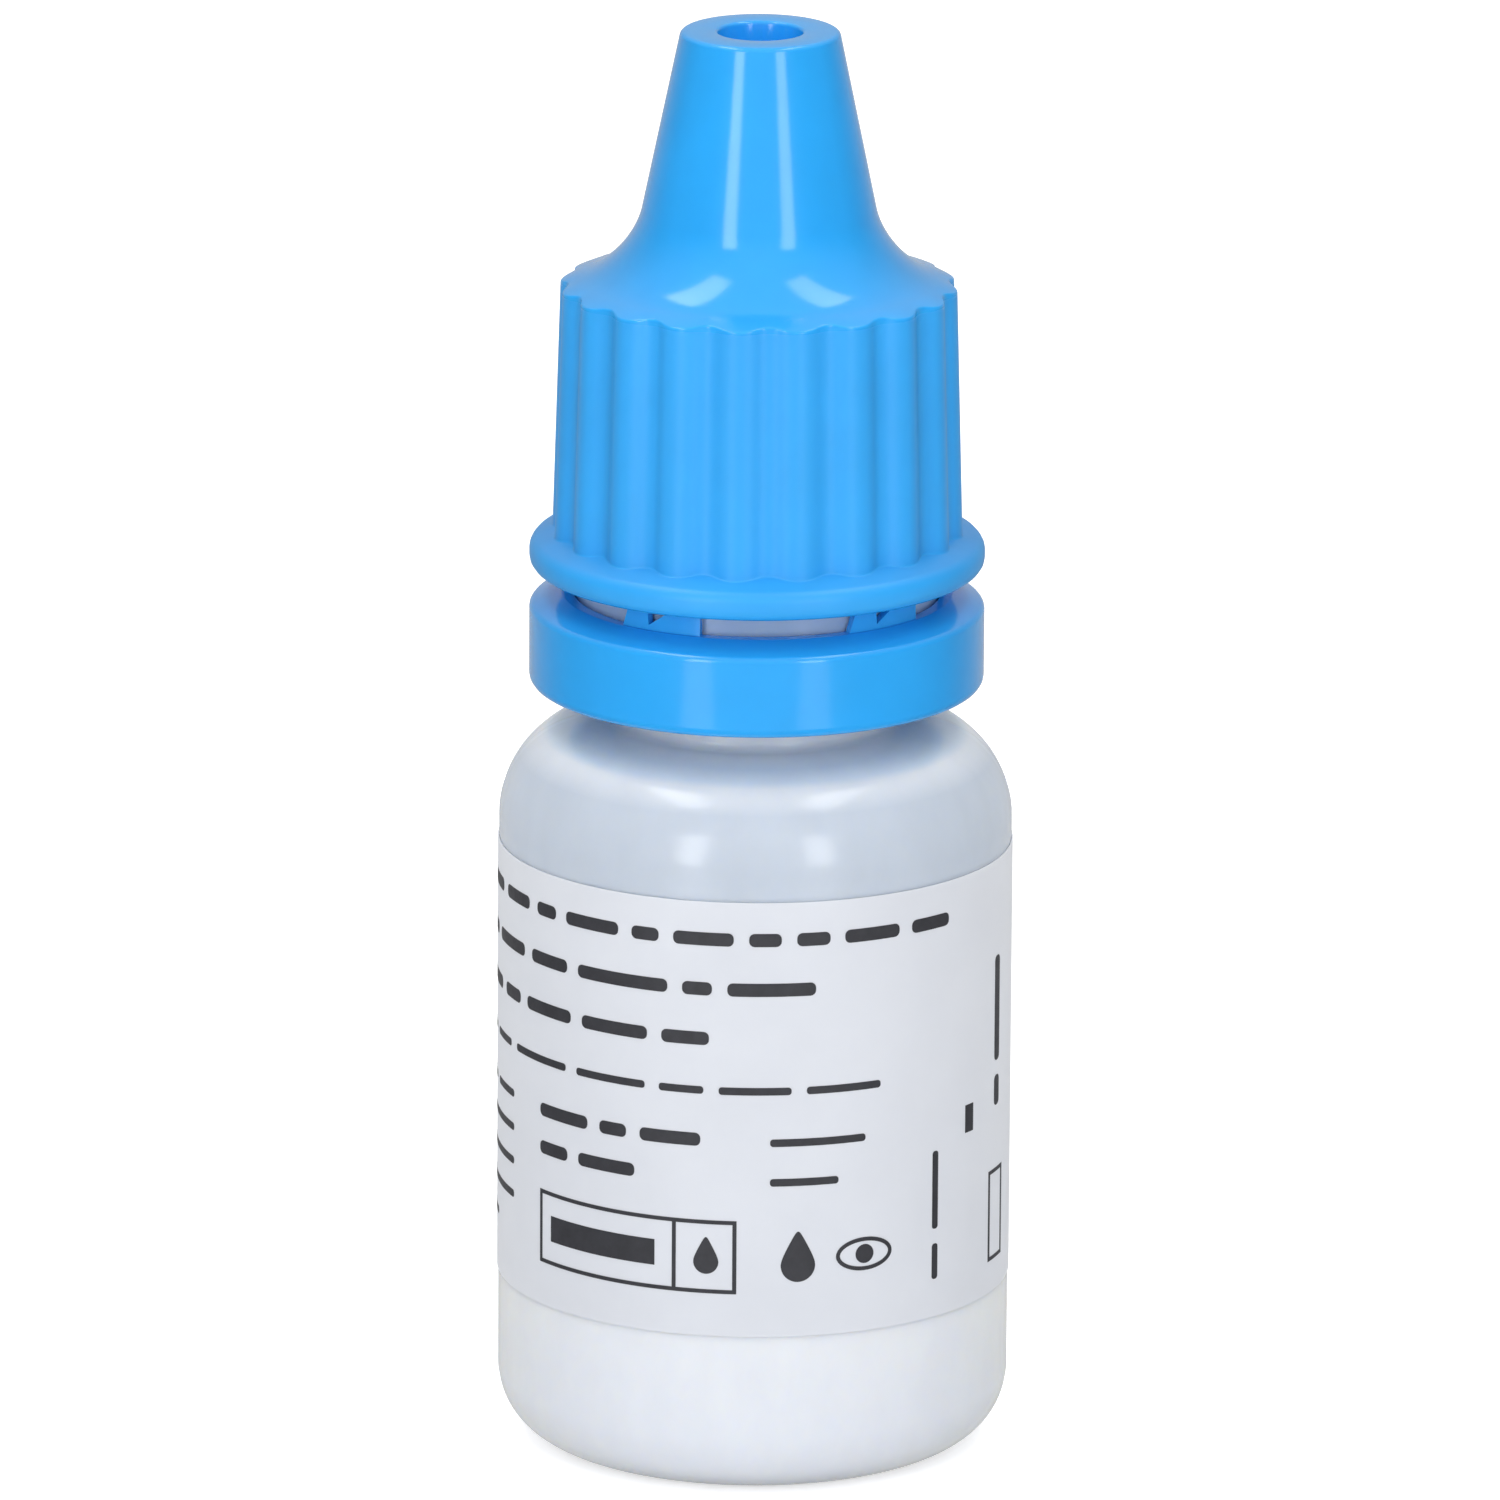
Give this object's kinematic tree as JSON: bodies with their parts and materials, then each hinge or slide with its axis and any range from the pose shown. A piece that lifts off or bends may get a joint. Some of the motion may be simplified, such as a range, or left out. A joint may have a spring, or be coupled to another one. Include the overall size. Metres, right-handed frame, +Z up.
{
  "type": "eye drop bottle",
  "caption": "Round milky squeeze bottle with a wrap label, press-fit dropper insert and ribbed blue screw cap with a conical nose and tamper ring; dispenses liquid in drops.",
  "frame": {"origin": "centre of the base, on the surface that the bottle stands on", "axes": "+Z up along the bottle's axis towards the cap's nose, -Y towards the front of the label, +X to the right of the front"},
  "size_m": [0.0252, 0.0251, 0.0706],
  "materials": {
    "milky_plastic": "translucent satin low-density polyethylene",
    "clear_solution": "clear water-based liquid",
    "label_film": "satin pale grey printed film",
    "natural_plastic": "natural translucent polyethylene",
    "blue_plastic": "satin-gloss moulded polyethylene"
  },
  "bodies": {
    "filled_bottle": {"bottle": "milky_plastic", "eye_drop_solution": "clear_solution", "label": "label_film", "dropper_insert": "natural_plastic"},
    "tamper_band": {"tamper_ring": "blue_plastic", "tamper_bridges": "blue_plastic"},
    "cap": {"screw_cap": "blue_plastic"}
  },
  "joints": [
    {"name": "cap_turn", "type": "hinge", "parent": "filled_bottle", "child": "tamper_band", "pos_m": [0, 0, 0.0427], "axis": [0, 0, 1], "range_deg": [0, 2880]},
    {"name": "cap_rise", "type": "slide", "parent": "tamper_band", "child": "cap", "axis": [0, 0, 1], "range_m": [0, 0.024]}
  ],
  "couplings": [
    {"joint": "cap_rise", "follows": "cap_turn", "m_per_rad": 0.00047746}
  ]
}
